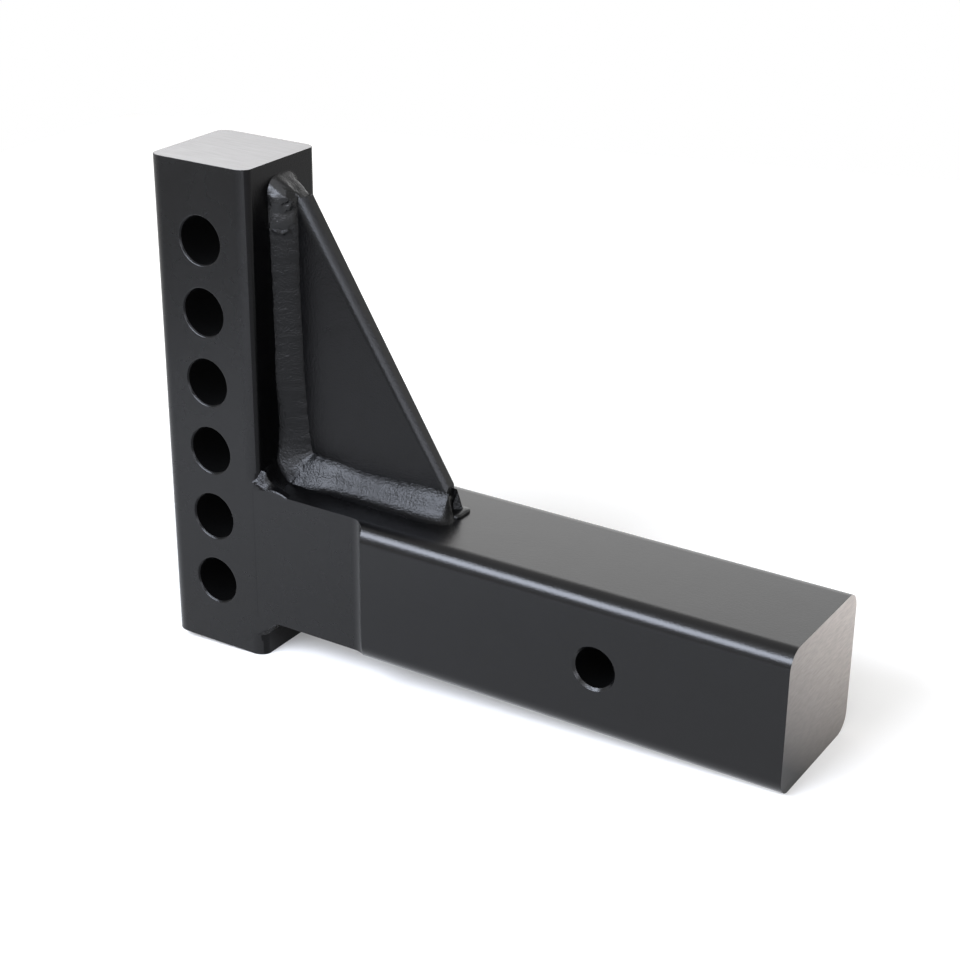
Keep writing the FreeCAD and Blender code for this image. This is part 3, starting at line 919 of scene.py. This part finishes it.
# %% Lay the upper root weld
ROOT_CUT = ((-2.93, 3.69), (-1.76, 3.03), (-0.7, 2.35), (0.9, 1.56), (2.35, 1.02), (4.15, 1.19),
            (7.7, 1.57), (9.59, 1.52), (12.22, 1.2), (14.4, 0.47), (17.04, -0.4))
ROOT_FOOT = ((-2.5, 4.2), (-1.4, 3.9), (-0.1, 3.4), (1.6, 2.5), (3.0, 2.0), (4.8, 1.8),
             (7.2, 1.9), (9.4, 1.8), (12.0, 1.4), (14.2, 0.7), (16.6, -0.4))
ROOT_SHOULDER = ((-2.0, 8.0), (-0.9, 8.0), (0.6, 7.95), (2.3, 7.5), (3.3, 5.6), (4.7, 4.0),
                 (6.6, 3.1), (9.0, 2.3), (11.8, 1.5), (14.0, 0.6), (16.2, -0.3))
ROOT_MIDDLE = ((-0.3, 9.9), (0.1, 8.6), (0.7, 7.4), (1.3, 6.3), (1.9, 5.2), (2.6, 4.1),
               (3.3, 3.1), (4.1, 2.1), (5.0, 1.2), (6.2, 0.4), (8.0, -0.3))
CUT_INSET = 0.36
CUT_DROP = 0.5
CUT_PROUD = 0.03
CUT_ROOT = 3.0
TOP_ROOT = (-0.3, -0.9)
END_HOLD = 10
ROOT_LUMPS = ((0.3, 5, 7), (0.12, 2, 1))
ROOT_ROWS = 196
ROOT_STEPS = 30
FOOT_AT = 0.8
SHOULDER_AT = 3.3
MIDDLE_AT = 11.0


def row_through(points):
    count = len(points) - 1
    outs = through(*[(index / count, point[0]) for index, point in enumerate(points)])
    ups = through(*[(index / count, point[1]) for index, point in enumerate(points)])
    return outs, ups


def cut_drop(away):
    return CUT_DROP * max(0, 1 - away / CUT_INSET)


def side_at(away, side):
    """How far across a place on a root weld is. The milled end stands a hair proud of the flat."""
    proud = CUT_PROUD if away == 0 else 0
    return side * (mill_side - away + proud)


cut_row = row_through(ROOT_CUT)
foot_row = row_through(ROOT_FOOT)
shoulder_row = row_through(ROOT_SHOULDER)
middle_row = row_through(ROOT_MIDDLE)
mill_side = mill_half / MM


def from_cut(along):
    """Distance in from the nearer milled end of a root weld, and which end that is."""
    row = (1 - abs(2 * along - 1)) * ROOT_ROWS / 2
    even = (mill_side - CUT_INSET) / (ROOT_ROWS / 2 - 1)
    away = CUT_INSET * row if row < 1 else CUT_INSET + even * (row - 1)
    side = math.copysign(1, 2 * along - 1)
    return away, side


def root_top_at(along, across):
    away, side = from_cut(along)
    foot = min(away / FOOT_AT, 1)
    first = min(max((away - FOOT_AT) / (SHOULDER_AT - FOOT_AT), 0), 1)
    second = 1 - (1 - min(max((away - SHOULDER_AT) / (MIDDLE_AT - SHOULDER_AT), 0), 1)) ** 2
    mixed = []
    for part in range(2):
        edge = cut_row[part](across) * (1 - foot) + foot_row[part](across) * foot
        edge = edge * (1 - first) + shoulder_row[part](across) * first
        mixed.append(edge * (1 - second) + middle_row[part](across) * second)
    return from_corner(mixed[0], side_at(away, side), mixed[1] - cut_drop(away))


def root_top_root(along):
    away, side = from_cut(along)
    return from_corner(TOP_ROOT[0] - CUT_ROOT * max(0, 1 - away), side_at(away, side), TOP_ROOT[1])


def root_relief(along, across, spot):
    ends = min(1, END_HOLD * min(along, 1 - along))
    return held(across) * ends * rough(spot, ROOT_LUMPS)


def paint_cut(body):
    body.normal_update()
    paint_faces(body, MILLED, lambda face: abs(face.normal.y) > FLAT_FACING)
    return weld_coat, milled_coat


root_top = bmesh.new()
lay_sheet(root_top, root_top_at, root_top_root, (ROOT_ROWS, ROOT_STEPS), root_relief)
finish_piece(root_top, "root_bead_top", paint_cut(root_top), ("root_weld_top",))

# %% [markdown]
# Under the bar the same weld is out of sight but for its end, so it is a plain fillet with a light sag. At
# its ends it reaches back round the upright's corner, which the weld metal filled before the milling.

# %% Lay the lower root weld
LOWER_LEG = 9.0
LOWER_SAG = 0.42
DIAGONAL = 0.7
LOWER_STEPS = 24
CORNER_FILL = 1.2


def corner_gap(away):
    """How far the upright's round corner lies behind its face, at a distance in from the flat."""
    radius = UPRIGHT_CORNER / MM
    deep = max(radius - (rolled_half - mill_half) / MM - away, 0)
    return CORNER_FILL * (radius - math.sqrt(radius * radius - deep * deep))


def root_bottom_at(along, across):
    away, side = from_cut(along)
    sag = LOWER_SAG * 4 * across * (1 - across)
    drop = DIAGONAL * cut_drop(away)
    out = LOWER_LEG * across - sag - (BURIED + corner_gap(away)) * (1 - across) - drop
    down = LOWER_LEG * (1 - across) - sag - BURIED * across - drop
    return from_corner(out, side_at(away, side), -2 * bar_top / MM - down)


def root_bottom_root(along):
    away, side = from_cut(along)
    return from_corner(-SUNK - corner_gap(away), side * (mill_side - away), -2 * bar_top / MM + SUNK)


root_bottom = bmesh.new()
lay_sheet(root_bottom, root_bottom_at, root_bottom_root, (ROOT_ROWS, LOWER_STEPS), root_relief)
finish_piece(root_bottom, "root_bead_bottom", paint_cut(root_bottom), ("root_weld_bottom",))

# %% [markdown]
# The two fills beside the joint are milled flush with the flats, so their solids are right as they are and
# only take the milled finish.

# %% Paint the side fills
for name, node in frame["nodes"].items():
    if not node.hide_render:
        for slot in node.material_slots:
            slot.material = milled_coat
        print("painted", name)

# %% [markdown]
# The shank stands on the lower edge of its upright's stub and on the lower edge of its free end, so the
# floor is a plane through those two edges. It is a lit white floor that keeps the shank's shadow, and the
# eye and the gloss of the steel see it brighter than the lamps alone would make it. The front lamp lights it
# unevenly, so what is added grows with the distance from the lamp's foot, and the floor is white all over.

# %% Lay the floor
FLOOR_SIZE = 1.8
stub_edge = Vector((face_x, 0, upright_low.z))
end_edge = Vector((bar_high.x, 0, bar_low.z))
lean = math.atan2(end_edge.z - stub_edge.z, end_edge.x - stub_edge.x)
print("floor leans", round(math.degrees(lean), 2), "degrees")
ground = bmesh.new()
bmesh.ops.create_grid(ground, x_segments=1, y_segments=1, size=FLOOR_SIZE / 2)
bmesh.ops.rotate(ground, verts=ground.verts, matrix=Matrix.Rotation(-lean, 3, "Y"))
bmesh.ops.translate(ground, verts=ground.verts, vec=stub_edge)
floor = as_object(ground, "floor")


def seen_directly(tree):
    path = tree.nodes.new("ShaderNodeLightPath")
    first = tree.nodes.new("ShaderNodeMath")
    first.operation = "MAXIMUM"
    tree.links.new(path.outputs["Is Camera Ray"], first.inputs[0])
    tree.links.new(path.outputs["Is Glossy Ray"], first.inputs[1])
    both = tree.nodes.new("ShaderNodeMath")
    both.operation = "MAXIMUM"
    tree.links.new(first.outputs[0], both.inputs[0])
    tree.links.new(path.outputs["Is Transmission Ray"], both.inputs[1])
    return both.outputs[0]


LAMP_FOOT = Vector((-0.3, -0.45, 0))
GLOW_FROM = 0.38
GLOW_UNTIL = 0.8
FLOOR_GLOW = 0.72
FLOOR_COLOUR = (0.625, 0.61, 0.58, 1)
FLOOR_ROUGHNESS = 0.9
white = bpy.data.materials.new("white_floor")
white.use_nodes = True
shader = white.node_tree.nodes["Principled BSDF"]
shader.inputs["Base Color"].default_value = FLOOR_COLOUR
shader.inputs["Roughness"].default_value = FLOOR_ROUGHNESS
shader.inputs["Specular IOR Level"].default_value = 0.0
shader.inputs["Emission Color"].default_value = (1, 1, 1, 1)
glow = white.node_tree.nodes.new("ShaderNodeMath")
glow.operation = "MULTIPLY"
spot = white.node_tree.nodes.new("ShaderNodeTexCoord")
away = white.node_tree.nodes.new("ShaderNodeVectorMath")
away.operation = "DISTANCE"
away.inputs[1].default_value = LAMP_FOOT
white.node_tree.links.new(spot.outputs["Object"], away.inputs[0])
growth = white.node_tree.nodes.new("ShaderNodeMapRange")
growth.inputs["From Min"].default_value = GLOW_FROM
growth.inputs["From Max"].default_value = GLOW_UNTIL
growth.inputs["To Max"].default_value = FLOOR_GLOW
white.node_tree.links.new(away.outputs["Value"], growth.inputs["Value"])
white.node_tree.links.new(seen_directly(white.node_tree), glow.inputs[0])
white.node_tree.links.new(growth.outputs["Result"], glow.inputs[1])
white.node_tree.links.new(glow.outputs[0], shader.inputs["Emission Strength"])
floor.data.materials.append(white)
print("floor glow up to", FLOOR_GLOW)

# %% [markdown]
# The light is that of a plain product picture: a white room and five soft lamps. The front one draws the
# long highlight on the bar's rounded edge, and the others light the sawn end, the welds and the upper faces.
# The room is white where it is seen or mirrored and dim where it only lights, so that shadows stay deep.

# %% Light the room
ROOM_LIGHT = 0.15
room = bpy.data.worlds.new("white_room")
room.use_nodes = True
bpy.context.scene.world = room
backdrop = room.node_tree.nodes["Background"]
backdrop.inputs["Color"].default_value = (1, 1, 1, 1)
level = room.node_tree.nodes.new("ShaderNodeMapRange")
level.inputs["To Min"].default_value = ROOM_LIGHT
level.inputs["To Max"].default_value = 1.0
room.node_tree.links.new(seen_directly(room.node_tree), level.inputs["Value"])
room.node_tree.links.new(level.outputs["Result"], backdrop.inputs["Strength"])
LAMP_AIM = Vector((-70, 0, 30)) * MM


def soft_lamp(name, towards, distance, size, radiance, colour):
    lamp = bpy.data.lights.new(name, "AREA")
    lamp.shape = "RECTANGLE"
    lamp.size, lamp.size_y = size
    lamp.color = colour
    lamp.energy = radiance * size[0] * size[1] * math.pi
    holder = bpy.data.objects.new(name, lamp)
    back = Vector(towards).normalized()
    holder.location = LAMP_AIM + back * distance
    holder.rotation_mode = "QUATERNION"
    holder.rotation_quaternion = (-back).to_track_quat("-Z", "Y")
    bpy.context.scene.collection.objects.link(holder)
    print(name, "gives", round(lamp.energy, 1), "W")


soft_lamp("front_softbox", (-0.225, -0.565, 0.455), distance=0.68, size=(0.62, 0.30), radiance=21.5,
          colour=(0.80, 0.86, 1.0))
soft_lamp("back_softbox", (-0.48, 0.77, 0.42), distance=1.2, size=(1.2, 0.8), radiance=1.5,
          colour=(1.0, 1.0, 1.0))
soft_lamp("side_softbox", (0.489, -0.848, 0.208), distance=1.6, size=(1.3, 0.60), radiance=7.0,
          colour=(0.86, 0.89, 1.0))
soft_lamp("top_softbox", (0.27, -0.42, 0.87), distance=1.26, size=(1.2, 1.0), radiance=2.0,
          colour=(0.93, 0.95, 1.0))
soft_lamp("rim_softbox", (0.56, 0.76, 0.30), distance=1.2, size=(0.9, 0.5), radiance=0.8,
          colour=(1.0, 0.98, 0.95))

# %% [markdown]
# The camera stands where the photograph was taken from, found by fitting the bars, holes and ends to it.

# %% Set up the camera
CAMERA_PLACE = (0.32365652, -0.63355882, 0.39177612)
CAMERA_TURN = (65.54326806, -0.43507036, 32.26654421)
CAMERA_LENS = 74.36176288
CAMERA_SENSOR = 36.0
CAMERA_NEAR = 0.01
lens = bpy.data.cameras.new("camera")
lens.sensor_width = CAMERA_SENSOR
lens.lens = CAMERA_LENS
lens.clip_start = CAMERA_NEAR
camera = bpy.data.objects.new("camera", lens)
camera.location = CAMERA_PLACE
camera.rotation_euler = [math.radians(angle) for angle in CAMERA_TURN]
bpy.context.scene.collection.objects.link(camera)
bpy.context.scene.camera = camera
bpy.context.scene.view_settings.view_transform = "Standard"
print("camera lens", round(CAMERA_LENS, 1), "mm, from", round(camera.location.length, 3), "m away")
